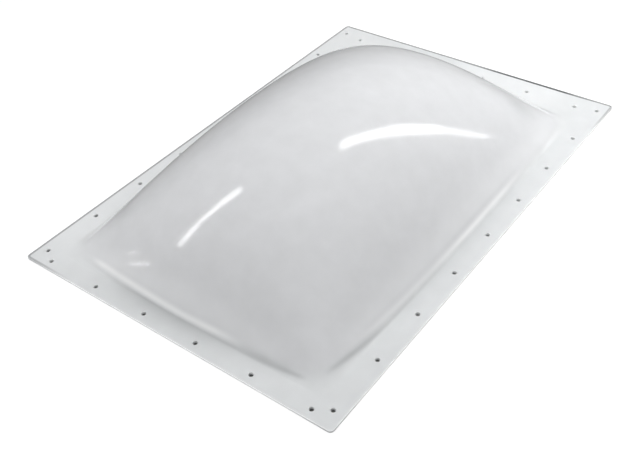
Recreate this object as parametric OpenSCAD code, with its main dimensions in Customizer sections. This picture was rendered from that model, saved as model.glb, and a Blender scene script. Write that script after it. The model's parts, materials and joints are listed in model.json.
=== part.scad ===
// Roof skylight dome, blown from one sheet of translucent white plastic.
// A sheet is clamped round a rectangle and blown up. The blown middle is the dome, and the
// clamped border stays flat as the mounting flange, drilled for screws on all four sides.
// The origin is at the middle of the flange's underside. X runs across the skylight,
// Y runs along it from the front end to the back end, and Z points up.

/* [Sheet] */
// Thickness of the sheet, and so of the flange
sheet_t = 3; // [2:0.1:5]
// Thickness that is left at the crown, where blowing stretches the sheet most
crown_t = 2.2; // [1.5:0.1:5]

/* [Flange] */
// Width of the flange, across
flange_w = 445; // [380:1:600]
// Length of the flange, along
flange_l = 654; // [600:1:900]
// Radius of the flange's corners
corner_r = 5; // [1:0.5:10]
// Flat border along each side of the dome
side_margin = 30.5; // [26:0.5:60]
// Flat border at the front end of the dome
front_margin = 28; // [24:0.5:60]
// Flat border at the back end of the dome
back_margin = 54; // [42:0.5:90]

/* [Dome] */
// Height of the crown above the flange's top face
dome_rise = 135; // [80:1:170]
// Fullness of the dome: 1 is a slack membrane, and less is fuller, with steeper sides
dome_fullness = 0.85; // [0.8:0.01:1]
// Size of the hollow curve where the dome's foot runs into the flange
foot_blend = 6; // [4:0.5:12]

/* [Screw holes] */
// Diameter of the screw holes
hole_d = 5; // [3:0.1:7]
// Number of holes in each side row
side_holes = 9; // [2:1:14]
// Side rows: distance in from the flange's side edge
side_row_inset = 14; // [9:0.5:20]
// Side rows: distance of the end holes from the flange's ends
side_row_end = 22.2; // [20:0.1:60]
// Number of holes in each end row
end_holes = 6; // [2:1:10]
// Front row: distance in from the flange's front edge
front_row_inset = 11.5; // [8:0.5:18]
// Front row: distance of the end holes from the flange's sides
front_row_end = 32; // [30:0.5:80]
// Back row: distance in from the flange's back edge
back_row_inset = 28; // [8:0.5:36]
// Back row: distance of the end holes from the flange's sides
back_row_end = 44; // [30:0.5:80]

/* [Hidden] */

// The clamped rectangle that the dome rises from
half_w = flange_w / 2 - side_margin;
half_l = (flange_l - front_margin - back_margin) / 2;
dome_y = (front_margin - back_margin) / 2;

// The dome's surface is a net, closer towards the foot, where the sheet bends most
cells_across = 40;
cells_along = 56;
net_w = cells_across + 1;
net_points = net_w * (cells_along + 1);

// Terms of the membrane's series, and the half step of a slope measured on the surface
series_terms = 9;
slope_step = 0.05;

// How far the drill passes beyond each face of the flange
drill_over = 1;
round_fn = 48;

sheet_colour = [0.87, 0.88, 0.89];

// Outlines

module rounded_rectangle(w, l, r) {
    square([w - 2 * r, l], center = true);
    square([w, l - 2 * r], center = true);
    for (x = [-1, 1], y = [-1, 1])
        translate([x * (w / 2 - r), y * (l / 2 - r)])
            circle(r, $fn = round_fn);
}

// The same corner values bound the dome's net, so that the two meet wall to wall
module foot_rectangle() {
    polygon([[-half_w, -half_l], [half_w, -half_l], [half_w, half_l], [-half_w, half_l]]);
}

// The dome as a membrane, held at the foot rectangle and blown up by an even pressure

function sum(terms) = terms * [for (t = terms) 1];

// cosh(angle * y) / cosh(angle * half_l), written so that large angles don't overflow
function along_share(angle, y) =
    (exp(angle * (abs(y) - half_l)) + exp(-angle * (abs(y) + half_l))) / (1 + exp(-2 * angle * half_l));

function membrane(x, y) =
    let (odd = [for (i = [0 : series_terms - 1]) 2 * i + 1])
    (half_w * half_w - x * x) / 2
    - sum([for (n = odd)
        let (k = n * PI / 2, turn = (n % 4 == 1) ? 1 : -1)
        2 * half_w * half_w * turn / pow(k, 3) * cos(90 * n * x / half_w) * along_share(k / half_w, y)]);

membrane_peak = membrane(0, 0);

function blown(x, y) =
    (dome_rise + foot_blend) * pow(max(membrane(x, y), 0) / membrane_peak, dome_fullness);

// The foot leaves the flange level, bends up over the blend and then follows the membrane
function blended(h) = h < 2 * foot_blend ? h * h / (4 * foot_blend) : h - foot_blend;

function rise(x, y) = blended(blown(x, y));

// Points of the net

// Places from -1 to 1, spaced as the shadow of equal steps round a half circle
function station(i, cells) = -cos(180 * i / cells);

function on_rim(i, j) = i == 0 || i == cells_across || j == 0 || j == cells_along;

// The way straight out of the surface
function outward(x, y) =
    let (
        dx = (rise(x + slope_step, y) - rise(x - slope_step, y)) / (2 * slope_step),
        dy = (rise(x, y + slope_step) - rise(x, y - slope_step)) / (2 * slope_step),
        way = [-dx, -dy, 1]
    )
    way / norm(way);

function net_place(i, j) = [half_w * station(i, cells_across), half_l * station(j, cells_along)];

function top_point(i, j) =
    let (p = net_place(i, j))
    [p.x, p.y, sheet_t + (on_rim(i, j) ? 0 : rise(p.x, p.y))];

// The sheet thins evenly with height, from the flange to the crown
function thickness_at(z) = sheet_t + (crown_t - sheet_t) * (z - sheet_t) / dome_rise;

function under_point(i, j) =
    let (p = top_point(i, j))
    on_rim(i, j) ? [p.x, p.y, 0] : p - thickness_at(p.z) * outward(p.x, p.y);

// Faces of the net

// The two triangles of a cell, split so that each quarter of the dome mirrors the next
function cell_triangles(i, j) =
    let (
        a = j * net_w + i,
        b = a + 1,
        c = b + net_w,
        d = a + net_w,
        mirrored = (2 * i < cells_across) == (2 * j < cells_along)
    )
    mirrored ? [[a, c, b], [a, d, c]] : [[a, d, b], [b, d, c]];

function turned(triangle, shift) = [triangle[0] + shift, triangle[2] + shift, triangle[1] + shift];

// The rim of the net, once round, anticlockwise from above
rim = concat(
    [for (i = [0 : cells_across - 1]) i],
    [for (j = [0 : cells_along - 1]) j * net_w + cells_across],
    [for (i = [cells_across : -1 : 1]) cells_along * net_w + i],
    [for (j = [cells_along : -1 : 1]) j * net_w]
);

function rim_wall(n) =
    let (p = rim[n], q = rim[(n + 1) % len(rim)])
    [p, q, q + net_points, p + net_points];

module dome_shell() {
    top = [for (j = [0 : cells_along], i = [0 : cells_across]) top_point(i, j)];
    under = [for (j = [0 : cells_along], i = [0 : cells_across]) under_point(i, j)];
    skin = [for (j = [0 : cells_along - 1], i = [0 : cells_across - 1]) each cell_triangles(i, j)];
    polyhedron(
        points = concat(top, under),
        faces = concat(
            skin,
            [for (t = skin) turned(t, net_points)],
            [for (n = [0 : len(rim) - 1]) rim_wall(n)]
        )
    );
}

// Screw holes

// Places of a row of holes, evenly spread between its two end holes
function row(count, reach) = [for (i = [0 : count - 1]) reach * (2 * i / (count - 1) - 1)];

hole_places = concat(
    [for (x = [-1, 1], y = row(side_holes, flange_l / 2 - side_row_end))
        [x * (flange_w / 2 - side_row_inset), y]],
    [for (x = row(end_holes, flange_w / 2 - front_row_end))
        [x, front_row_inset - flange_l / 2]],
    [for (x = row(end_holes, flange_w / 2 - back_row_end))
        [x, flange_l / 2 - back_row_inset]]
);

module screw_holes() {
    for (p = hole_places)
        translate([p.x, p.y, -drill_over])
            cylinder(h = sheet_t + 2 * drill_over, d = hole_d, $fn = round_fn);
}

module flange() {
    difference() {
        linear_extrude(sheet_t)
            difference() {
                rounded_rectangle(flange_w, flange_l, corner_r);
                translate([0, dome_y]) foot_rectangle();
            }
        screw_holes();
    }
}

module skylight_dome() {
    color(sheet_colour)
        union() {
            flange();
            translate([0, dome_y, 0]) dome_shell();
        }
}

skylight_dome();
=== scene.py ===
"""Roof skylight: one sheet of white acrylic, blown into a dome with a flat drilled flange.

The sheet is modelled as it is made: a flat blank is held round a rectangle and blown up, its border is
cut to the flange's outline, and the flange is drilled. The studio around it is plain.
"""

import json
import logging
import math
from dataclasses import astuple, dataclass, field
from enum import Enum

import bpy
from mathutils import Matrix, Vector


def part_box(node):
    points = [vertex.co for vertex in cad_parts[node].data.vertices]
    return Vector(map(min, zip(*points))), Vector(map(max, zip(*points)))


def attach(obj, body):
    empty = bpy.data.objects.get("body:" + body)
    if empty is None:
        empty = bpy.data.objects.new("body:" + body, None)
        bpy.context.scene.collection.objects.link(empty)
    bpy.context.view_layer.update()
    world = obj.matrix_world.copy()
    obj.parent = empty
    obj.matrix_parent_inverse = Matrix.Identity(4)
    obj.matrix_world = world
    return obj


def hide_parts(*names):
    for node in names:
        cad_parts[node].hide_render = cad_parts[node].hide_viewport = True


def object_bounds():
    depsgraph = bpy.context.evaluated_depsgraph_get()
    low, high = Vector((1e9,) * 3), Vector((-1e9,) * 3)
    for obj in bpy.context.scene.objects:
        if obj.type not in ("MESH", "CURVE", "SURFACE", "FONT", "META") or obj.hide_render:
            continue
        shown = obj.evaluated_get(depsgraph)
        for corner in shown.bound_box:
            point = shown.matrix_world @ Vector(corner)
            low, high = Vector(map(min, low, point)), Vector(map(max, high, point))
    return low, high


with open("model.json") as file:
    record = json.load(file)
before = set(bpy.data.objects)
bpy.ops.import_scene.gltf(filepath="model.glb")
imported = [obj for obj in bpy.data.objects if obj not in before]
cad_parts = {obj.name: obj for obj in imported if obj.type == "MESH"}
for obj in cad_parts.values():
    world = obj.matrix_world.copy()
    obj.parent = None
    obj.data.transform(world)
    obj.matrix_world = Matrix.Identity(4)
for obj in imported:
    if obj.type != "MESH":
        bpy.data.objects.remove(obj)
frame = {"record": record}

MM = 0.001
NODE = "skylight_dome"
BODY = "root"
PHOTO_WIDTH_PX = 641
# Painted light and shade at the dome's foot and on the flange, stored on the sheet's vertices.
LIGHT_AND_SHADE = "painted_light_and_shade"
# Painted shade: a dark line along the flange's cut edge, mostly on the far sides.
EDGE = "painted_edge_shade"
SHEET_T = 3 * MM
ACRYLIC_IOR = 1.49
EVEN_SCATTER = (1.0, 1.0, 1.0)
# Colour of the painted shade along the cut edge.
EDGE_PAINTED_SHADE_COLOUR = "#5C5E60"
CEILING_MM = 2000.0
AIM_MM = (40.4, -99.18, 3.0)

CAD_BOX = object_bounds()
LOG = logging.getLogger("skylight")


def linear(hex_colour: str) -> tuple[float, float, float, float]:
    """Turn an sRGB hex colour into linear RGBA.

    Args:
        hex_colour: Six hex digits, with or without a leading hash.

    Returns:
        Linear red, green, blue and an alpha of 1.
    """
    digits = hex_colour.lstrip("#")
    channels = [int(digits[i:i + 2], 16) / 255 for i in (0, 2, 4)]
    red, green, blue = [c / 12.92 if c <= 0.04045 else ((c + 0.055) / 1.055) ** 2.4 for c in channels]
    return red, green, blue, 1.0


def add_node(
    tree: bpy.types.NodeTree, kind: str, settings: dict | None = None, inputs: dict | None = None
) -> bpy.types.Node:
    """Add a shader node with its settings, values and links.

    Args:
        tree: Node tree that gets the node.
        kind: Blender's name of the node type.
        settings: Properties of the node, by name.
        inputs: Values or output sockets for the node's inputs, by name or number.

    Returns:
        The new node.
    """
    node = tree.nodes.new(kind)
    for name, value in (settings or {}).items():
        setattr(node, name, value)
    for name, value in (inputs or {}).items():
        if isinstance(value, bpy.types.NodeSocket):
            tree.links.new(value, node.inputs[name])
        else:
            node.inputs[name].default_value = value
    return node


def new_material(name: str) -> tuple[bpy.types.Material, bpy.types.NodeTree]:
    """Make an empty node material.

    Args:
        name: Name of the material.

    Returns:
        The material and its node tree.
    """
    material = bpy.data.materials.new(name)
    material.use_nodes = True
    material.node_tree.nodes.clear()
    return material, material.node_tree


def select_only(obj: bpy.types.Object) -> None:
    """Deselect everything, then select one object and make it active.

    Args:
        obj: Object to work on.
    """
    bpy.ops.object.select_all(action="DESELECT")
    obj.select_set(True)
    bpy.context.view_layer.objects.active = obj


class Zone(Enum):
    """Surfaces of the sheet that were finished in different ways."""

    SKIN = 0
    CUT_EDGE = 1
    DRILLED = 2


@dataclass(frozen=True)
class OpalAcrylic:
    """White acrylic sheet, cast glossy and blown without touching a mould."""

    name: str = "opal_acrylic_sheet"
    flange_colour: str = "#DBDDDE"
    dome_colour: str = "#DFE0E2"
    # Colour of the painted shade along the cut edge's top arris.
    painted_edge_shade_colour: str = EDGE_PAINTED_SHADE_COLOUR
    sheet_t: float = SHEET_T
    thinned_at: float = 12 * MM
    wiped_roughness: float = 0.13
    clean_roughness: float = 0.06
    clamped_roughness: float = 0.26
    blown_clear_at: float = 18 * MM
    ior: float = ACRYLIC_IOR
    scatter_weight: float = 0.6
    scatter_depth: float = 2.0 * MM
    # Colours of the painted shade and painted light at the bend.
    painted_bend_shade_colour: str = "#9FA2A3"
    painted_bend_light_colour: str = "#FAFBFC"
    haze_colour: str = "#C2C3C4"
    haze_size: float = 22 * MM
    haze_detail: float = 5.0
    haze_range: tuple[float, float] = (0.3, 0.7)
    haze_share: float = 0.16
    wipe_size: float = 60 * MM
    wipe_detail: float = 3.0
    ripple_size: float = 45 * MM
    ripple_detail: float = 1.0
    ripple_height: float = 0.02 * MM

    def material(self) -> bpy.types.Material:
        """Build the node material.

        Returns:
            The finished material.
        """
        # Opal acrylic is milky: light sinks a little way in, so shadows are soft under a clear hard gloss.
        # The clamps leave the flange and the foot duller than the dome, which nothing touched.
        material, tree = new_material(self.name)
        place = add_node(tree, "ShaderNodeTexCoord").outputs["Object"]
        wipes = add_node(
            tree,
            "ShaderNodeTexNoise",
            inputs={"Vector": place, "Scale": 1 / self.wipe_size, "Detail": self.wipe_detail},
        )
        free = add_node(
            tree,
            "ShaderNodeMapRange",
            inputs={0: wipes.outputs["Fac"], 3: self.clean_roughness, 4: self.wiped_roughness},
        )
        height = add_node(tree, "ShaderNodeSeparateXYZ", inputs={0: place}).outputs["Z"]
        clear = add_node(
            tree, "ShaderNodeMapRange", inputs={0: height, 1: self.sheet_t, 2: self.blown_clear_at}
        )
        roughness = add_node(
            tree,
            "ShaderNodeMix",
            {"data_type": "FLOAT"},
            {0: clear.outputs[0], 2: self.clamped_roughness, 3: free.outputs[0]},
        )
        ripple = add_node(
            tree,
            "ShaderNodeTexNoise",
            inputs={"Vector": place, "Scale": 1 / self.ripple_size, "Detail": self.ripple_detail},
        )
        bump = add_node(
            tree,
            "ShaderNodeBump",
            inputs={"Height": ripple.outputs["Fac"], "Distance": self.ripple_height, "Strength": 1.0},
        )
        thinned = add_node(
            tree, "ShaderNodeMapRange", inputs={0: height, 1: self.sheet_t, 2: self.thinned_at}
        )
        haze = add_node(
            tree,
            "ShaderNodeTexNoise",
            inputs={"Vector": place, "Scale": 1 / self.haze_size, "Detail": self.haze_detail},
        )
        clean, hazy = self.haze_range
        dust = add_node(
            tree,
            "ShaderNodeMapRange",
            inputs={0: haze.outputs["Fac"], 1: clean, 2: hazy, 3: 0.0, 4: self.haze_share},
        )
        # Painted shade in the bend and on the dome's shoulders, and painted light along the bend, foot and
        # flange.
        bend = add_node(tree, "ShaderNodeAttribute", {"attribute_name": LIGHT_AND_SHADE}).outputs["Fac"]
        product = {"operation": "MULTIPLY", "use_clamp": True}
        dark = add_node(tree, "ShaderNodeMath", product, {0: bend, 1: -1.0})
        pale = add_node(tree, "ShaderNodeMath", product, {0: bend, 1: 1.0})
        # Painted shade along the top arris of the cut edge.
        edge = add_node(tree, "ShaderNodeAttribute", {"attribute_name": EDGE})
        colour = linear(self.flange_colour)
        for share, tint in (
            (thinned.outputs[0], self.dome_colour),
            (dust.outputs[0], self.haze_colour),
            (dark.outputs[0], self.painted_bend_shade_colour),
            (pale.outputs[0], self.painted_bend_light_colour),
            (edge.outputs["Fac"], self.painted_edge_shade_colour),
        ):
            mix = add_node(
                tree, "ShaderNodeMix", {"data_type": "RGBA"}, {0: share, 6: colour, 7: linear(tint)}
            )
            colour = mix.outputs[2]
        shader = add_node(
            tree,
            "ShaderNodeBsdfPrincipled",
            inputs={
                "Base Color": colour,
                "Roughness": roughness.outputs[0],
                "IOR": self.ior,
                "Subsurface Weight": self.scatter_weight,
                "Subsurface Radius": EVEN_SCATTER,
                "Subsurface Scale": self.scatter_depth,
                "Normal": bump.outputs[0],
            },
        )
        add_node(tree, "ShaderNodeOutputMaterial", inputs={"Surface": shader.outputs[0]})
        return material


@dataclass(frozen=True)
class SawnAcrylic:
    """Edge of the sheet as the saw left it: matt, with fine saw marks."""

    name: str = "sawn_acrylic_edge"
    colour: str = "#E8E9EA"
    # Colour of the painted shade on the cut edge.
    painted_shade_colour: str = EDGE_PAINTED_SHADE_COLOUR
    roughness: float = 0.45
    ior: float = ACRYLIC_IOR
    scatter_depth: float = 4.0 * MM
    # Painted light: a small glow from the cut edge.
    painted_glow: float = 0.36
    mark_spacing: float = 1.2 * MM
    mark_detail: float = 2.0
    mark_depth: float = 0.03 * MM

    def material(self) -> bpy.types.Material:
        """Build the node material.

        Returns:
            The finished material.
        """
        # A sawn edge scatters at its surface, so it looks paler and duller than the glossy faces. Its glow
        # is painted light for the light that runs along inside the sheet and comes out there, and the edge
        # attribute darkens it with painted shade.
        material, tree = new_material(self.name)
        place = add_node(tree, "ShaderNodeTexCoord").outputs["Object"]
        marks = add_node(
            tree,
            "ShaderNodeTexNoise",
            inputs={"Vector": place, "Scale": 1 / self.mark_spacing, "Detail": self.mark_detail},
        )
        bump = add_node(
            tree,
            "ShaderNodeBump",
            inputs={"Height": marks.outputs["Fac"], "Distance": self.mark_depth, "Strength": 1.0},
        )
        edge_shade = add_node(tree, "ShaderNodeAttribute", {"attribute_name": EDGE}).outputs["Fac"]
        colour = add_node(
            tree,
            "ShaderNodeMix",
            {"data_type": "RGBA"},
            {0: edge_shade, 6: linear(self.colour), 7: linear(self.painted_shade_colour)},
        )
        shader = add_node(
            tree,
            "ShaderNodeBsdfPrincipled",
            inputs={
                "Base Color": colour.outputs[2],
                "Roughness": self.roughness,
                "IOR": self.ior,
                "Subsurface Weight": 1.0,
                "Subsurface Radius": EVEN_SCATTER,
                "Subsurface Scale": self.scatter_depth,
                "Emission Color": colour.outputs[2],
                "Emission Strength": self.painted_glow,
                "Normal": bump.outputs[0],
            },
        )
        add_node(tree, "ShaderNodeOutputMaterial", inputs={"Surface": shader.outputs[0]})
        return material


@dataclass(frozen=True)
class DrilledAcrylic:
    """Wall of a drilled hole: rough, and greyer towards the bottom with painted shade."""

    name: str = "drilled_acrylic_wall"
    colour: str = "#F4F5F6"
    # Colour of the painted shade low in the hole.
    painted_shade_colour: str = "#C6C8CA"
    roughness: float = 0.6
    ior: float = ACRYLIC_IOR
    depth: float = SHEET_T
    scatter_depth: float = 6 * MM

    def material(self) -> bpy.types.Material:
        """Build the node material.

        Returns:
            The finished material.
        """
        # The drill leaves a frosted wall, pale where light comes through the sheet, with painted shade low
        # down.
        material, tree = new_material(self.name)
        place = add_node(tree, "ShaderNodeTexCoord").outputs["Object"]
        height = add_node(tree, "ShaderNodeSeparateXYZ", inputs={0: place}).outputs["Z"]
        share = add_node(tree, "ShaderNodeMapRange", inputs={0: height, 1: 0.0, 2: self.depth})
        colour = add_node(
            tree,
            "ShaderNodeMix",
            {"data_type": "RGBA"},
            {0: share.outputs[0], 6: linear(self.painted_shade_colour), 7: linear(self.colour)},
        )
        shader = add_node(
            tree,
            "ShaderNodeBsdfPrincipled",
            inputs={
                "Base Color": colour.outputs[2],
                "Roughness": self.roughness,
                "IOR": self.ior,
                "Subsurface Weight": 1.0,
                "Subsurface Radius": EVEN_SCATTER,
                "Subsurface Scale": self.scatter_depth,
            },
        )
        add_node(tree, "ShaderNodeOutputMaterial", inputs={"Surface": shader.outputs[0]})
        return material


FINISHES = {Zone.SKIN: OpalAcrylic(), Zone.CUT_EDGE: SawnAcrylic(), Zone.DRILLED: DrilledAcrylic()}


@dataclass(frozen=True)
class PaperFloor:
    """Matt white backdrop paper, kept white to the eye with the part's shadow left on it."""

    half_w: float
    half_l: float
    name: str = "backdrop_paper"
    colour: str = "#959595"
    # Painted shade under the part, lighter towards the far end.
    shade_colour: str = "#606060"
    far_shade_colour: str = "#9A9A9A"
    glow: float = 0.78

    def material(self) -> bpy.types.Material:
        """Build the node material.

        Returns:
            The finished material.
        """
        # Paper is matt all over. The glow is seen but lights nothing, so it only lifts the paper to white.
        # It stops under the part, where the paper is shaded and its colour is painted darker as painted
        # shade, lighter towards the far end as painted light, so it shows dark through the holes.
        material, tree = new_material(self.name)
        rays = add_node(tree, "ShaderNodeLightPath").outputs
        seen = rays["Is Camera Ray"]
        for ray in ("Is Glossy Ray", "Is Transmission Ray"):
            either = add_node(tree, "ShaderNodeMath", {"operation": "MAXIMUM"}, {0: seen, 1: rays[ray]})
            seen = either.outputs[0]
        place = add_node(tree, "ShaderNodeTexCoord").outputs["Object"]
        axes = add_node(tree, "ShaderNodeSeparateXYZ", inputs={0: place})
        inside = []
        for axis, half in (("X", self.half_w), ("Y", self.half_l)):
            reach = add_node(tree, "ShaderNodeMath", {"operation": "ABSOLUTE"}, {0: axes.outputs[axis]})
            within = add_node(
                tree, "ShaderNodeMath", {"operation": "LESS_THAN"}, {0: reach.outputs[0], 1: half}
            )
            inside.append(within.outputs[0])
        under = add_node(tree, "ShaderNodeMath", {"operation": "MULTIPLY"}, dict(enumerate(inside)))
        level = add_node(
            tree, "ShaderNodeMapRange", inputs={0: under.outputs[0], 3: self.glow, 4: 0.0}
        )
        strength = add_node(
            tree, "ShaderNodeMath", {"operation": "MULTIPLY"}, {0: seen, 1: level.outputs[0]}
        )
        far = add_node(
            tree, "ShaderNodeMapRange", inputs={0: axes.outputs["Y"], 1: -self.half_l, 2: self.half_l}
        )
        shade = add_node(
            tree,
            "ShaderNodeMix",
            {"data_type": "RGBA"},
            {0: far.outputs[0], 6: linear(self.shade_colour), 7: linear(self.far_shade_colour)},
        )
        colour = add_node(
            tree,
            "ShaderNodeMix",
            {"data_type": "RGBA"},
            {0: under.outputs[0], 6: linear(self.colour), 7: shade.outputs[2]},
        )
        paper = add_node(tree, "ShaderNodeBsdfDiffuse", inputs={"Color": colour.outputs[2]})
        glow = add_node(tree, "ShaderNodeEmission", inputs={"Strength": strength.outputs[0]})
        both = add_node(tree, "ShaderNodeAddShader", inputs={0: paper.outputs[0], 1: glow.outputs[0]})
        add_node(tree, "ShaderNodeOutputMaterial", inputs={"Surface": both.outputs[0]})
        return material


@dataclass(frozen=True)
class DarkCard:
    """Matt grey card, darker than the paper."""

    name: str = "dark_card"
    colour: str = "#868686"

    def material(self) -> bpy.types.Material:
        """Build the node material.

        Returns:
            The finished material.
        """
        # Uncoated card is matt all over.
        material, tree = new_material(self.name)
        card = add_node(tree, "ShaderNodeBsdfDiffuse", inputs={"Color": linear(self.colour)})
        add_node(tree, "ShaderNodeOutputMaterial", inputs={"Surface": card.outputs[0]})
        return material


@dataclass
class DomeForm:
    """The blown surface: a membrane held round the foot, with a hollow curve where it leaves the flange."""

    half_w: float
    half_l: float
    rise: float
    fullness: float = 0.85
    foot_blend: float = 6 * MM
    series_terms: int = 9

    def membrane(self, x: float, y: float) -> float:
        """Height of a slack membrane under even pressure, in its own scale.

        Args:
            x: Distance across from the dome's middle.
            y: Distance along from the dome's middle.

        Returns:
            The height, which is zero at the foot.
        """
        height = (self.half_w ** 2 - x ** 2) / 2
        for term in range(self.series_terms):
            k = (2 * term + 1) * math.pi / 2
            along = k / self.half_w
            share = (
                math.exp(along * (abs(y) - self.half_l)) + math.exp(-along * (abs(y) + self.half_l))
            ) / (1 + math.exp(-2 * along * self.half_l))
            wave = (-1) ** term * math.cos(k * x / self.half_w) / k ** 3
            height -= 2 * self.half_w ** 2 * wave * share
        return max(height, 0.0)

    def height(self, x: float, y: float, peak: float) -> float:
        """Height of the blown sheet above the flange's top face.

        Args:
            x: Distance across from the dome's middle.
            y: Distance along from the dome's middle.
            peak: The membrane's height at the middle.

        Returns:
            The height in metres.
        """
        blown = (self.rise + self.foot_blend) * (self.membrane(x, y) / peak) ** self.fullness
        if blown < 2 * self.foot_blend:
            return blown ** 2 / (4 * self.foot_blend)
        return blown - self.foot_blend


def fade(value: float, none: float, full: float) -> float:
    """Give a smooth step between two values.

    Args:
        value: The value to judge.
        none: Value that gives 0.
        full: Value that gives 1.

    Returns:
        From 0 to 1.
    """
    share = min(max((value - none) / (full - none), 0.0), 1.0)
    return share * share * (3 - 2 * share)


def soft_line(place: float, middle: float, half_width: float) -> float:
    """Give the strength of a soft line.

    Args:
        place: Distance across the line.
        middle: Middle of the line.
        half_width: Distance from the middle at which the line has almost gone.

    Returns:
        From 1 in the middle to 0 far away.
    """
    return math.exp(-(((place - middle) / half_width) ** 2))


class Side(Enum):
    """Sides of the dome's foot, as seen from the front end."""

    FRONT = "front"
    RIGHT = "right"
    BACK = "back"
    LEFT = "left"


@dataclass(frozen=True)
class CreaseStation:
    """How the bend at the dome's foot looks at one place along a side.

    Attributes:
        along: Distance along the side from its middle, in millimetres.
        dark: Strength of the line of painted shade in the bend, from 0 to 1.
        half_width: Half the dark line's width, in millimetres.
        pale: Strength of the painted highlight inside the dark line.
        skirt: Strength of the faint painted shade on the flange outside it.
        shade: Strength of the broad painted shade further up the dome.
        inner: Strength of a second line of painted shade, close inside the first.
    """

    along: float
    dark: float
    half_width: float
    pale: float = 0.0
    skirt: float = 0.0
    shade: float = 0.0
    inner: float = 0.0

    def towards(self, other: "CreaseStation", along: float) -> "CreaseStation":
        """Give the look between two stations.

        Args:
            other: The next station along the side.
            along: Place between the two.

        Returns:
            The station at that place.
        """
        share = (along - self.along) / (other.along - self.along)
        pairs = zip(astuple(self), astuple(other))
        return CreaseStation(*(a + (b - a) * share for a, b in pairs))


@dataclass(frozen=True)
class Crease:
    """The bend along one side of the foot, in millimetres.

    A line of painted shade runs along the bend. Inside it come a painted highlight with a faint painted
    dark echo, a second line of painted shade and a broad painted shade, and outside it a faint skirt of
    painted shade on the flange. The stations say how strong each is.
    """

    stations: tuple[CreaseStation, ...]
    offset: float = -1.5
    lean: float = 15.0
    lean_run: float = 70.0
    pale_step: float = 4.3
    pale_half_width: float = 1.7
    echo_step: float = 8.2
    echo_half_width: float = 1.3
    echo_share: float = 0.2
    skirt_run: float = 16.0
    skirt_end: float = 34.0
    shade_depth: float = 40.0
    shade_half_width: float = 18.0
    inner_step: float = 3.0
    inner_half_width: float = 2.0

    def tint(self, along: float, inwards: float, half: float) -> float:
        """Give the bend's tint at a place.

        Args:
            along: Distance along the side from its middle, in millimetres.
            inwards: Distance in from the foot line, in millimetres.
            half: Half the side's length, in millimetres.

        Returns:
            Below 0 for painted shade and above 0 for painted light.
        """
        look = None
        for station, after in zip(self.stations, self.stations[1:]):
            if station.along <= along < after.along:
                look = station.towards(after, along)
        if look is None:
            return 0.0
        lean = self.lean * math.exp(-(half - abs(along)) / self.lean_run)
        depth = inwards - self.offset - lean
        pale = look.pale * soft_line(depth, self.pale_step, self.pale_half_width)
        dark = look.dark * soft_line(depth, 0.0, look.half_width)
        dark += self.echo_share * look.pale * soft_line(depth, self.echo_step, self.echo_half_width)
        if depth < 0:
            dark += look.skirt * math.exp(depth / self.skirt_run) * fade(-inwards, self.skirt_end, 0.0)
        else:
            dark += look.skirt * soft_line(depth, 0.0, look.half_width)
        dark += look.shade * soft_line(inwards, self.shade_depth, self.shade_half_width)
        dark += look.inner * soft_line(depth, self.inner_step, self.inner_half_width)
        return pale - dark


# Painted shade and painted highlights along each side of the foot, station by station.
CREASES = {
    Side.FRONT: Crease((
        CreaseStation(-162, 0.0, 2.5),
        CreaseStation(-148, 0.1, 2.5, 0.1),
        CreaseStation(-130, 0.3, 2.0, 0.7),
        CreaseStation(-105, 0.22, 2.2, 0.7, 0.14),
        CreaseStation(-85, 0.14, 2.3, 0.75, 0.3),
        CreaseStation(-55, 0.08, 2.4, 0.8, 0.48),
        CreaseStation(0, 0.05, 2.4, 0.65, 0.5),
        CreaseStation(45, 0.12, 2.4, 0.75, 0.3),
        CreaseStation(75, 0.24, 2.5, 0.2, 0.1),
        CreaseStation(88, 0.3, 2.7, inner=0.15),
        CreaseStation(110, 0.4, 2.9, inner=0.22),
        CreaseStation(125, 0.46, 2.8, inner=0.12),
        CreaseStation(140, 0.52, 2.8),
        CreaseStation(156, 0.36, 2.3),
        CreaseStation(166, 0.0, 2.0),
    ), pale_step=4.7, pale_half_width=2.2, echo_share=0.1),
    Side.RIGHT: Crease((
        CreaseStation(-264, 0.0, 2.4),
        CreaseStation(-252, 0.28, 2.5),
        CreaseStation(-228, 0.52, 2.5),
        CreaseStation(-205, 0.48, 2.6, 0.05),
        CreaseStation(-182, 0.26, 1.8, 0.3),
        CreaseStation(-140, 0.16, 1.8, 0.4, 0.05),
        CreaseStation(-80, 0.13, 2.0, 0.4, 0.12),
        CreaseStation(0, 0.05, 2.0, 0.9, 0.17),
        CreaseStation(90, 0.08, 2.0, 0.65, 0.1),
        CreaseStation(140, 0.03, 2.0, 0.1, 0.03),
        CreaseStation(180, 0.0, 2.0),
    ), offset=-1.0, lean=22.5, lean_run=60.0),
    Side.BACK: Crease((
        CreaseStation(-150, 0.0, 4.0),
        CreaseStation(-110, 0.45, 4.0),
        CreaseStation(20, 0.45, 4.0),
        CreaseStation(60, 0.45, 4.0, shade=0.17),
        CreaseStation(80, 0.45, 4.0, shade=0.24),
        CreaseStation(120, 0.36, 4.0, shade=0.21),
        CreaseStation(135, 0.25, 5.0, shade=0.36),
        CreaseStation(147, 0.25, 5.5, shade=0.28),
        CreaseStation(158, 0.18, 5.5, shade=0.1),
        CreaseStation(168, 0.0, 5.5),
    ), shade_depth=66.0, shade_half_width=24.0),
    Side.LEFT: Crease((
        CreaseStation(-232, 0.0, 4.0),
        CreaseStation(-222, 0.0, 4.0, shade=0.2),
        CreaseStation(-206, 0.3, 4.0, shade=0.2),
        CreaseStation(-195, 0.5, 4.0, shade=0.18),
        CreaseStation(-160, 0.5, 4.0, shade=0.15),
        CreaseStation(-90, 0.5, 4.0),
        CreaseStation(205, 0.5, 4.0),
        CreaseStation(240, 0.0, 4.0),
    )),
}


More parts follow.
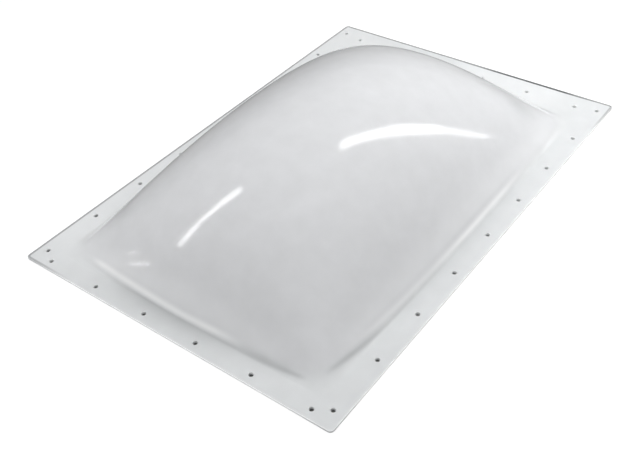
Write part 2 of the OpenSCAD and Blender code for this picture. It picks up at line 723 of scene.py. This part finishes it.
@dataclass
class SkylightSheet:
    """The whole skylight: dome, flange and screw holes in one sheet.

    Lengths are in metres, apart from those of the painted light and shade at the bend and on the flange,
    which are in millimetres.
    """

    low: Vector
    high: Vector
    hole_centres: list[Vector]
    hole_r: float
    sheet_t: float = SHEET_T
    crown_t: float = 2.2 * MM
    side_margin: float = 30.5 * MM
    front_margin: float = 28 * MM
    back_margin: float = 54 * MM
    corner_r: float = 5 * MM
    edge_round: float = 0.5 * MM
    burr_cut: float = 0.35 * MM
    # Mesh
    cells_across: int = 120
    cells_along: int = 168
    crowding: float = 1.8
    edge_segments: int = 3
    hole_sides: int = 40
    smooth_angle: float = math.radians(30)
    foot_lines: tuple[float, ...] = (1 * MM, 2.5 * MM, 5 * MM, 8 * MM, 12 * MM, 16 * MM, 20 * MM)
    edge_lines: tuple[float, ...] = (4.7 * MM, 3.8 * MM, 2.2 * MM, 0.0)
    outline_slack: float = 0.01 * MM
    end_facing: float = 0.9
    # Painted shade and painted highlight on the cut edge
    line_slack: float = 1.05
    arris_share: float = 0.5
    left_edge_shade: float = 0.6
    back_edge_shade: float = 0.75
    thick_edge_shade_ends: tuple[float, float, float, float] = (-40 * MM, 60 * MM, 150 * MM, 210 * MM)
    far_end_edge_shade: float = 0.5
    far_end_run: tuple[float, float] = (85 * MM, 5 * MM)
    near_end_edge_shade: float = 0.85
    near_end_run: tuple[float, float] = (65 * MM, 5 * MM)
    near_arris_highlight: float = 0.25
    # Painted light and shade at the bend, foot and flange
    bend_reach: float = 110.0
    foot_painted_light: float = 0.3
    foot_pale_depth: float = 12.0
    foot_pale_start: float = 6.0
    foot_pale_ends: tuple[float, float] = (30.0, 90.0)
    flange_painted_light: float = 0.3
    flange_pale_across: tuple[float, float] = (-60.0, -190.0)
    flange_pale_along: tuple[float, float] = (-330.0, -240.0)
    flange_pale_height: tuple[float, float] = (26.0, 3.0)
    back_painted_light: float = 0.24
    back_pale_rise: tuple[float, float] = (-40.0, 20.0)
    back_pale_fall: tuple[float, float] = (180.0, 120.0)
    back_pale_foot: tuple[float, float] = (2.0, -4.0)
    dome: DomeForm = field(init=False)
    middle_y: float = field(init=False)

    def __post_init__(self) -> None:
        """Work out the foot rectangle and the rise from the frame's box."""
        size = self.high - self.low
        half_l = (size.y - self.front_margin - self.back_margin) / 2
        self.middle_y = (self.low.y + self.front_margin + self.high.y - self.back_margin) / 2
        self.dome = DomeForm(size.x / 2 - self.side_margin, half_l, size.z - self.sheet_t)

    def build(self) -> bpy.types.Object:
        """Model the sheet from a flat blank.

        Returns:
            The finished object, at the origin.
        """
        sheet = self.blank()
        self.add_flange(sheet)
        self.blow(sheet)
        self.thicken(sheet)
        self.round_edges(sheet)
        self.drill(sheet)
        self.mark_bend(sheet)
        self.mark_edge(sheet)
        select_only(sheet)
        bpy.ops.object.shade_smooth_by_angle(angle=self.smooth_angle)
        return sheet

    def blank(self) -> bpy.types.Object:
        """Add the blank that fills the foot rectangle, with its rows crowded towards the foot.

        Returns:
            The flat blank on the flange's top face.
        """
        bpy.ops.object.select_all(action="DESELECT")
        bpy.ops.mesh.primitive_grid_add(
            x_subdivisions=self.cells_across,
            y_subdivisions=self.cells_along,
            size=2,
            location=(0, self.middle_y, self.sheet_t),
        )
        sheet = bpy.context.active_object
        sheet.name = "blown_sheet"
        for vertex in sheet.data.vertices:
            vertex.co.x = self.dome.half_w * self.crowd(vertex.co.x)
            vertex.co.y = self.dome.half_l * self.crowd(vertex.co.y)
        bpy.ops.object.transform_apply(location=True, rotation=False, scale=False)
        return sheet

    def crowd(self, place: float) -> float:
        """Move a place between -1 and 1 towards the nearer end.

        Args:
            place: Evenly spread place.

        Returns:
            The crowded place.
        """
        return math.tanh(self.crowding * place) / math.tanh(self.crowding)

    def add_flange(self, sheet: bpy.types.Object) -> None:
        """Extrude the blank's rim out to the flange's outline, with lines along the foot and the edge.

        Args:
            sheet: The flat blank.
        """
        half = Vector((self.dome.half_w, self.dome.half_l))
        middle = self.middle_y
        outline = Vector((self.high.x, self.high.y))
        foot = [(half + Vector((reach, reach)), self.middle_y, None) for reach in self.foot_lines]
        edge = [(outline - Vector((inset, inset)), 0.0, inset) for inset in self.edge_lines]
        for size, centre, inset in foot + edge:
            count = len(sheet.data.vertices)
            bpy.ops.object.mode_set(mode="EDIT")
            bpy.ops.mesh.select_all(action="SELECT")
            bpy.ops.mesh.region_to_loop()
            bpy.ops.mesh.extrude_edges_move()
            bpy.ops.object.mode_set(mode="OBJECT")
            for vertex in list(sheet.data.vertices)[count:]:
                vertex.co.x *= size.x / half.x
                vertex.co.y = centre + (vertex.co.y - middle) * size.y / half.y
                if inset is not None:
                    self.turn_corner(vertex, inset)
            half, middle = size, centre

    def turn_corner(self, vertex: bpy.types.MeshVertex, inset: float) -> None:
        """Bring a vertex of the square outline onto the round of its corner.

        Args:
            vertex: Vertex on the flange's outline, or on a line along it.
            inset: How far the line lies in from the outline.
        """
        centre = Vector((
            math.copysign(self.high.x - self.corner_r, vertex.co.x),
            math.copysign(self.high.y - self.corner_r, vertex.co.y),
        ))
        reach = vertex.co.to_2d() - centre
        beyond_x = reach.x * centre.x > 0
        beyond_y = reach.y * centre.y > 0
        if beyond_x and beyond_y:
            turned = centre + reach.normalized() * (self.corner_r - inset)
            vertex.co.x, vertex.co.y = turned

    def blow(self, sheet: bpy.types.Object) -> None:
        """Raise the blank inside the foot rectangle to the dome, and note how far it thins.

        Args:
            sheet: Blank with its flange.
        """
        group = sheet.vertex_groups.new(name="thickness")
        peak = self.dome.membrane(0.0, 0.0)
        for vertex in sheet.data.vertices:
            x, y = vertex.co.x, vertex.co.y - self.middle_y
            inside = abs(x) < self.dome.half_w and abs(y) < self.dome.half_l
            height = self.dome.height(x, y, peak) if inside else 0.0
            vertex.co.z += height
            group.add([vertex.index], 1 - height / self.dome.rise, "REPLACE")

    def mark_bend(self, sheet: bpy.types.Object) -> None:
        """Store the painted shade and painted light at the dome's foot and on the flange.

        Args:
            sheet: The finished mesh.
        """
        tint = sheet.data.attributes.new(LIGHT_AND_SHADE, "FLOAT", "POINT")
        half_w, half_l = self.dome.half_w / MM, self.dome.half_l / MM
        for vertex in sheet.data.vertices:
            x, y = vertex.co.x / MM, (vertex.co.y - self.middle_y) / MM
            height = (vertex.co.z - self.sheet_t) / MM
            nearest, other = sorted((half_w - abs(x), half_l - abs(y)))
            if abs(nearest) > self.bend_reach:
                continue
            # Painted light: the dome paler near its foot, the flange paler to the left and far end, a paler
            # strip behind the dome.
            total = self.foot_painted_light * soft_line(nearest, self.foot_pale_depth, self.foot_pale_depth)
            total *= fade(nearest, 0.0, self.foot_pale_start) * fade(other, *self.foot_pale_ends)
            border = fade(height, *self.flange_pale_height) * fade(x, *self.flange_pale_across)
            total += self.flange_painted_light * border * fade(y, *self.flange_pale_along)
            behind = fade(x, *self.back_pale_rise) * fade(x, *self.back_pale_fall)
            total += self.back_painted_light * behind * fade(half_l - y, *self.back_pale_foot)
            total += CREASES[Side.FRONT].tint(x, half_l + y, half_w)
            total += CREASES[Side.BACK].tint(x, half_l - y, half_w)
            total += CREASES[Side.RIGHT].tint(y, half_w - x, half_l)
            total += CREASES[Side.LEFT].tint(y, half_w + x, half_l)
            tint.data[vertex.index].value = total

    def edge_gap(self, x: float, y: float) -> float:
        """Give the distance of a place in from the flange's outline.

        Args:
            x: Place across.
            y: Place along.

        Returns:
            The distance.
        """
        gap_x, gap_y = self.high.x - abs(x), self.high.y - abs(y)
        if gap_x < self.corner_r and gap_y < self.corner_r:
            return self.corner_r - math.hypot(self.corner_r - gap_x, self.corner_r - gap_y)
        return min(gap_x, gap_y)

    def mark_edge(self, sheet: bpy.types.Object) -> None:
        """Store the painted shade on the cut edge, and the painted highlight on the top arris of the two
        near sides.

        Args:
            sheet: The finished mesh, with its bend marked.
        """
        edge_shade = sheet.data.attributes.new(EDGE, "FLOAT", "POINT")
        tint = sheet.data.attributes[LIGHT_AND_SHADE]
        wide, narrow = (self.line_slack * line for line in self.edge_lines[1:3])
        rise_from, rise_to, fall_from, fall_to = self.thick_edge_shade_ends
        for vertex in sheet.data.vertices:
            x, y, z = vertex.co
            gap = self.edge_gap(x, y)
            if gap > wide:
                continue
            top = z > self.sheet_t / 2
            on_side = self.high.x - abs(x) < self.high.y - abs(y)
            if on_side:
                far_end, near_end = self.high.y - y, y - self.low.y
            else:
                far_end, near_end = x - self.low.x, self.high.x - x
            level = 0.0
            if on_side and x < 0:
                level = self.left_edge_shade if top and gap < narrow else 0.0
            elif not on_side and y > 0:
                thick = fade(x, rise_from, rise_to) * fade(x, fall_to, fall_from)
                level = max(thick, self.back_edge_shade if gap < narrow else 0.0) if top else 0.0
            elif top and gap < narrow:
                level = self.far_end_edge_shade * fade(far_end, *self.far_end_run)
                if gap < self.arris_share * narrow:
                    # Painted highlight on the top arris.
                    tint.data[vertex.index].value += self.near_arris_highlight
            elif not top:
                level = self.near_end_edge_shade * fade(near_end, *self.near_end_run)
            edge_shade.data[vertex.index].value = level

    def thicken(self, sheet: bpy.types.Object) -> None:
        """Give the sheet its thickness, thinner towards the crown.

        Args:
            sheet: Blown surface.
        """
        wall = sheet.modifiers.new("wall", "SOLIDIFY")
        wall.thickness = self.sheet_t
        wall.offset = -1
        wall.use_even_offset = True
        wall.vertex_group = "thickness"
        wall.thickness_vertex_group = self.crown_t / self.sheet_t
        select_only(sheet)
        bpy.ops.object.modifier_apply(modifier=wall.name)

    def on_outline(self, point: Vector) -> bool:
        """Tell whether a point lies on the flange's cut edge.

        Args:
            point: Point of the sheet.

        Returns:
            True on the outline.
        """
        return self.edge_gap(point.x, point.y) < self.outline_slack

    def round_edges(self, sheet: bpy.types.Object) -> None:
        """Break the sharp arrises of the flange's cut edge and set its finish.

        Args:
            sheet: Sheet with its thickness.
        """
        mesh = sheet.data
        for zone in Zone:
            mesh.materials.append(FINISHES[zone].material())
        rim = {v.index for v in mesh.vertices if self.on_outline(v.co)}
        for face in mesh.polygons:
            if rim.issuperset(face.vertices):
                face.material_index = Zone.CUT_EDGE.value
        bpy.ops.object.mode_set(mode="EDIT")
        bpy.ops.mesh.select_mode(type="EDGE")
        bpy.ops.mesh.select_all(action="DESELECT")
        bpy.ops.object.mode_set(mode="OBJECT")
        for edge in mesh.edges:
            a, b = edge.vertices
            level = abs(mesh.vertices[a].co.z - mesh.vertices[b].co.z) < self.sheet_t / 2
            edge.select = a in rim and b in rim and level
        bpy.ops.object.mode_set(mode="EDIT")
        bpy.ops.mesh.bevel(offset=self.edge_round, segments=self.edge_segments, affect="EDGES")
        bpy.ops.object.mode_set(mode="OBJECT")

    def drill_bit(self) -> bpy.types.Object:
        """Model one drill with a countersink at each face of the flange, which takes the burr off.

        Returns:
            The drill, upright at the origin.
        """
        bpy.ops.object.select_all(action="DESELECT")
        bpy.ops.mesh.primitive_cylinder_add(
            vertices=self.hole_sides,
            radius=self.hole_r,
            depth=self.sheet_t - 2 * self.burr_cut,
            location=(0, 0, self.sheet_t / 2),
        )
        bit = bpy.context.active_object
        bit.name = "drill_bit"
        bpy.ops.object.mode_set(mode="EDIT")
        flare = (self.hole_r + self.burr_cut) / self.hole_r
        for way in (1, -1):
            for depth, factor in ((self.burr_cut, flare), (self.sheet_t, 1.0)):
                self.select_end(bit, way)
                bpy.ops.mesh.extrude_region_move(TRANSFORM_OT_translate={"value": (0, 0, way * depth)})
                bpy.ops.transform.resize(value=(factor, factor, 1))
        bpy.ops.object.mode_set(mode="OBJECT")
        return bit

    def select_end(self, bit: bpy.types.Object, way: int) -> None:
        """Select the end face of the drill in edit mode.

        Args:
            bit: The drill.
            way: 1 for the top end and -1 for the bottom end.
        """
        bpy.ops.mesh.select_mode(type="FACE")
        bpy.ops.mesh.select_all(action="DESELECT")
        bpy.ops.object.mode_set(mode="OBJECT")
        for face in bit.data.polygons:
            face.select = face.normal.z * way > self.end_facing
        bpy.ops.object.mode_set(mode="EDIT")

    def drill(self, sheet: bpy.types.Object) -> None:
        """Drill the screw holes.

        Args:
            sheet: Sheet with its edges finished.
        """
        bit = self.drill_bit()
        for zone in Zone:
            bit.data.materials.append(sheet.data.materials[zone.value])
        for face in bit.data.polygons:
            face.material_index = Zone.DRILLED.value
        bits = []
        for centre in self.hole_centres:
            copy = bit.copy()
            copy.data = bit.data.copy()
            copy.location = (centre.x, centre.y, 0)
            bpy.context.scene.collection.objects.link(copy)
            bits.append(copy)
        bpy.data.objects.remove(bit)
        select_only(bits[0])
        for copy in bits:
            copy.select_set(True)
        bpy.ops.object.join()
        bpy.ops.object.transform_apply(location=True, rotation=False, scale=False)
        cut = sheet.modifiers.new("holes", "BOOLEAN")
        cut.operation = "DIFFERENCE"
        cut.solver = "EXACT"
        cut.material_mode = "TRANSFER"
        cut.object = bits[0]
        select_only(sheet)
        bpy.ops.object.modifier_apply(modifier=cut.name)
        bpy.data.objects.remove(bits[0])


def screw_holes(record: dict) -> tuple[list[Vector], float]:
    """Read the screw holes from the frame's bolt patterns.

    Args:
        record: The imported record.

    Returns:
        The holes' centres and their radius, in metres.
    """
    centres: list[Vector] = []
    radius = 0.0
    for mount in record["mounts"]:
        if mount["kind"] != "bolt_pattern":
            continue
        dims = mount["dims"]
        radius = dims["hole_r_mm"] * MM
        half_x = dims["spacing_x_mm"] * MM / 2
        half_y = dims.get("spacing_y_mm", 0.0) * MM / 2
        ends = (-1, 1) if half_y else (1,)
        middle = Vector(mount["pos_m"])
        centres += [middle + Vector((sx * half_x, sy * half_y, 0)) for sx in (-1, 1) for sy in ends]
    return centres, radius


@dataclass
class StripLamp:
    """A long ceiling lamp in straight lengths, facing down."""

    name: str
    points: list[Vector]
    width: float
    radiance: float

    def build(self) -> None:
        """Add one lamp for each straight length."""
        for start, end in zip(self.points, self.points[1:]):
            run = end - start
            data = bpy.data.lights.new(self.name, "AREA")
            data.shape = "RECTANGLE"
            data.size = run.length
            data.size_y = self.width
            data.energy = self.radiance * math.pi * run.length * self.width
            lamp = bpy.data.objects.new(self.name, data)
            lamp.location = (start + end) / 2
            lamp.rotation_euler = (0, 0, math.atan2(run.y, run.x))
            bpy.context.scene.collection.objects.link(lamp)


@dataclass
class SoftBox:
    """A square diffuser that lights the part without showing in its gloss."""

    name: str
    place: Vector
    size: float
    radiance: float

    def build(self) -> None:
        """Add the lamp, facing the part."""
        data = bpy.data.lights.new(self.name, "AREA")
        data.shape = "SQUARE"
        data.size = self.size
        data.energy = self.radiance * math.pi * self.size ** 2
        lamp = bpy.data.objects.new(self.name, data)
        lamp.location = self.place
        lamp.rotation_mode = "QUATERNION"
        lamp.rotation_quaternion = (-self.place).to_track_quat("-Z", "Y")
        lamp.visible_glossy = False
        bpy.context.scene.collection.objects.link(lamp)


@dataclass
class Studio:
    """Floor, daylight, lamps and the camera at the photograph's angle."""

    aim: Vector
    azimuth: float = math.radians(39.301)
    elevation: float = math.radians(40.721)
    roll: float = math.radians(-4.093)
    distance: float = 1061.1 * MM
    focal_px: float = 896.2
    floor_reach: float = 12.0
    floor_gap: float = 0.1 * MM
    card_gap: float = 0.05 * MM
    card_near_reach: float = 1.6
    shade_inset: float = 2 * MM
    sensor_mm: float = 36.0
    sky_top: float = 0.48
    sky_low: float = 0.37
    sky_left: float = 0.08
    sky_left_range: tuple[float, float] = (-0.8, 0.0)
    sky_height_range: tuple[float, float] = (0.0, 0.9)
    lamps: list[StripLamp | SoftBox] = field(default_factory=list)

    def build(self) -> None:
        """Set the whole studio up."""
        self.add_floor()
        self.add_card()
        self.add_sky()
        for lamp in self.lamps:
            lamp.build()
        self.add_camera()
        bpy.context.scene.view_settings.view_transform = "Standard"

    def add_floor(self) -> None:
        """Lay the backdrop paper just under the flange."""
        bpy.ops.object.select_all(action="DESELECT")
        bpy.ops.mesh.primitive_plane_add(size=2 * self.floor_reach, location=(0, 0, -self.floor_gap))
        floor = bpy.context.active_object
        floor.name = "floor"
        half_w, half_l = CAD_BOX[1].x - self.shade_inset, CAD_BOX[1].y - self.shade_inset
        floor.data.materials.append(PaperFloor(half_w, half_l).material())

    def add_card(self) -> None:
        """Lay a grey card round the part that only the gloss sees."""
        bpy.ops.object.select_all(action="DESELECT")
        size = self.floor_reach + self.card_near_reach
        shift = (self.floor_reach - self.card_near_reach) / 2
        bpy.ops.mesh.primitive_plane_add(size=size, location=(-shift, shift, -self.card_gap))
        card = bpy.context.active_object
        card.name = "gloss_card"
        card.data.materials.append(DarkCard().material())
        card.visible_camera = False
        card.visible_diffuse = False
        card.visible_shadow = False
        card.visible_transmission = False

    def add_sky(self) -> None:
        """Light the studio from all round, brightest overhead and darkest low on the left."""
        world = bpy.data.worlds.new("studio_light")
        world.use_nodes = True
        tree = world.node_tree
        tree.nodes.clear()
        way = add_node(tree, "ShaderNodeTexCoord").outputs["Generated"]
        axes = add_node(tree, "ShaderNodeSeparateXYZ", inputs={0: way}).outputs
        left, right = self.sky_left_range
        bottom, top = self.sky_height_range
        horizon = add_node(
            tree,
            "ShaderNodeMapRange",
            {"interpolation_type": "SMOOTHSTEP"},
            {0: axes["X"], 1: left, 2: right, 3: self.sky_left, 4: self.sky_low},
        )
        level = add_node(
            tree,
            "ShaderNodeMapRange",
            {"interpolation_type": "SMOOTHSTEP"},
            {0: axes["Z"], 1: bottom, 2: top, 3: horizon.outputs[0], 4: self.sky_top},
        )
        light = add_node(tree, "ShaderNodeBackground", inputs={"Strength": level.outputs[0]})
        add_node(tree, "ShaderNodeOutputWorld", inputs={"Surface": light.outputs[0]})
        bpy.context.scene.world = world

    def add_camera(self) -> None:
        """Stand the camera where the photograph was taken from."""
        data = bpy.data.cameras.new("camera")
        data.sensor_width = self.sensor_mm
        data.lens = self.focal_px * self.sensor_mm / PHOTO_WIDTH_PX
        camera = bpy.data.objects.new("camera", data)
        back = Vector((
            math.sin(self.azimuth) * math.cos(self.elevation),
            -math.cos(self.azimuth) * math.cos(self.elevation),
            math.sin(self.elevation),
        ))
        camera.rotation_mode = "QUATERNION"
        turn = (-back).to_track_quat("-Z", "Y").to_matrix() @ Matrix.Rotation(self.roll, 3, "Z")
        camera.rotation_quaternion = turn.to_quaternion()
        camera.location = self.aim + back * self.distance
        bpy.context.scene.collection.objects.link(camera)
        bpy.context.scene.camera = camera


def ceiling(*places: tuple[float, float]) -> list[Vector]:
    """Give places on the ceiling over the part.

    Args:
        places: Distances across and along, in millimetres.

    Returns:
        The places in metres.
    """
    return [Vector((x, y, CEILING_MM)) * MM for x, y in places]


def studio_lamps() -> list[StripLamp | SoftBox]:
    """List the lamps: strips that show in the gloss, and soft boxes that only light the part.

    Returns:
        The lamps, not yet built.
    """
    return [
        StripLamp("far_strip", ceiling((176, 924), (708, 1714)), 0.17, 12.0),
        StripLamp("far_strip", ceiling((708, 1714), (1757, 3251)), 0.23, 12.0),
        StripLamp("far_strip_end", ceiling((1757, 3251), (3671, 6056)), 0.22, 6.0),
        StripLamp("near_strip", ceiling((-2680, -2400), (-2270, -1740)), 0.1, 15.0),
        StripLamp("near_strip", ceiling((-2270, -1740), (-1960, -1260), (-1630, -850)), 0.12, 11.0),
        StripLamp("near_strip", ceiling((-1630, -850), (-1250, -450)), 0.14, 10.0),
        StripLamp("left_spot", ceiling((-4585, -4510), (-4373, -4078)), 0.08, 34.0),
        StripLamp("left_spot_2", ceiling((-4291, -3279), (-4247, -2979)), 0.06, 24.0),
        StripLamp("back_line", ceiling((-820, 1770), (-390, 2710), (220, 3830)), 0.1, 1.6),
        StripLamp("cross_line", ceiling((-1300, -1590), (-150, -470), (970, 770), (2010, 2030)), 0.06, 1.5),
        SoftBox("key", Vector((0.469, 0.394, 0.514)), 0.6, 2.66),
        SoftBox("fill", Vector((-0.418, -0.724, 0.996)), 0.6, 5.2),
        SoftBox("back", Vector((-0.2, 0.85, 0.2)), 0.35, 3.2),
    ]


def main() -> None:
    """Build the skylight and its studio, and log how many faces, holes and lamps they have."""
    logging.basicConfig(level=logging.INFO, format="%(name)s: %(message)s")
    low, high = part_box(NODE)
    centres, radius = screw_holes(frame["record"])
    skylight = SkylightSheet(low, high, centres, radius)
    sheet = skylight.build()
    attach(sheet, BODY)
    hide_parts(NODE)
    LOG.info("%s: %d faces, %d holes", sheet.name, len(sheet.data.polygons), len(centres))
    studio = Studio(aim=Vector(AIM_MM) * MM, lamps=studio_lamps())
    studio.build()
    LOG.info("studio: %d lamps", len(studio.lamps))


if __name__ == "__main__":
    main()
